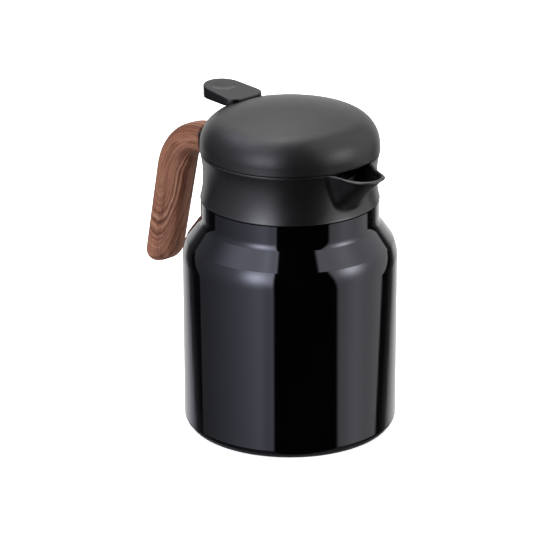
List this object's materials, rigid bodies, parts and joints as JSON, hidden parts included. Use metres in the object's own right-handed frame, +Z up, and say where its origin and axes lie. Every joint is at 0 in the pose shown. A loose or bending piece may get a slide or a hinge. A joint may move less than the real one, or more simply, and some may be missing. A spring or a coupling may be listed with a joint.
{
  "type": "thermal carafe",
  "caption": "Double-wall thermal carafe with a hinged dome lid opened by a thumb lever, a pouring beak and an open wood-look hook handle.",
  "frame": {"origin": "on the vertical axis of the flask, in the plane the foot ring rests on", "axes": "+X towards the pouring beak, -X towards the handle, +Z up, +Y along the hinge pin; the XZ plane is the mirror plane"},
  "size_m": [0.1947, 0.124, 0.1924],
  "materials": {
    "black_enamel": "gloss",
    "foot_rubber": "matte",
    "liner_steel": "satin",
    "getter_metal": "matte",
    "plug_metal": "satin",
    "black_plastic": "satin",
    "stopper_plastic": "satin",
    "seal_silicone": "matte",
    "grip_wood": "satin",
    "screw_steel": "satin",
    "pin_steel": "polished",
    "foam": "matte"
  },
  "bodies": {
    "flask": {"shell_wall": "black_enamel", "shell_base": "black_enamel", "foot_ring": "foot_rubber", "liner_wall": "liner_steel", "liner_base": "liner_steel", "getter_pellet": "getter_metal", "vacuum_plug": "plug_metal", "pour_collar": "black_plastic", "neck_seal": "seal_silicone", "handle_core": "black_plastic", "handle_grip": "grip_wood", "handle_screws": "screw_steel", "hinge_pin": "pin_steel"},
    "lid": {"lid_cover": "black_plastic", "lid_base": "black_plastic", "lid_foam": "foam", "stopper": "stopper_plastic", "stopper_foam": "foam", "stopper_gasket": "seal_silicone", "thumb_lever": "black_plastic", "lid_screws": "screw_steel"}
  },
  "joints": [
    {"name": "lid_hinge", "type": "hinge", "parent": "flask", "child": "lid", "pos_m": [-0.056, 0, 0.163], "axis": [0, -1, 0], "range_deg": [0, 58]}
  ]
}
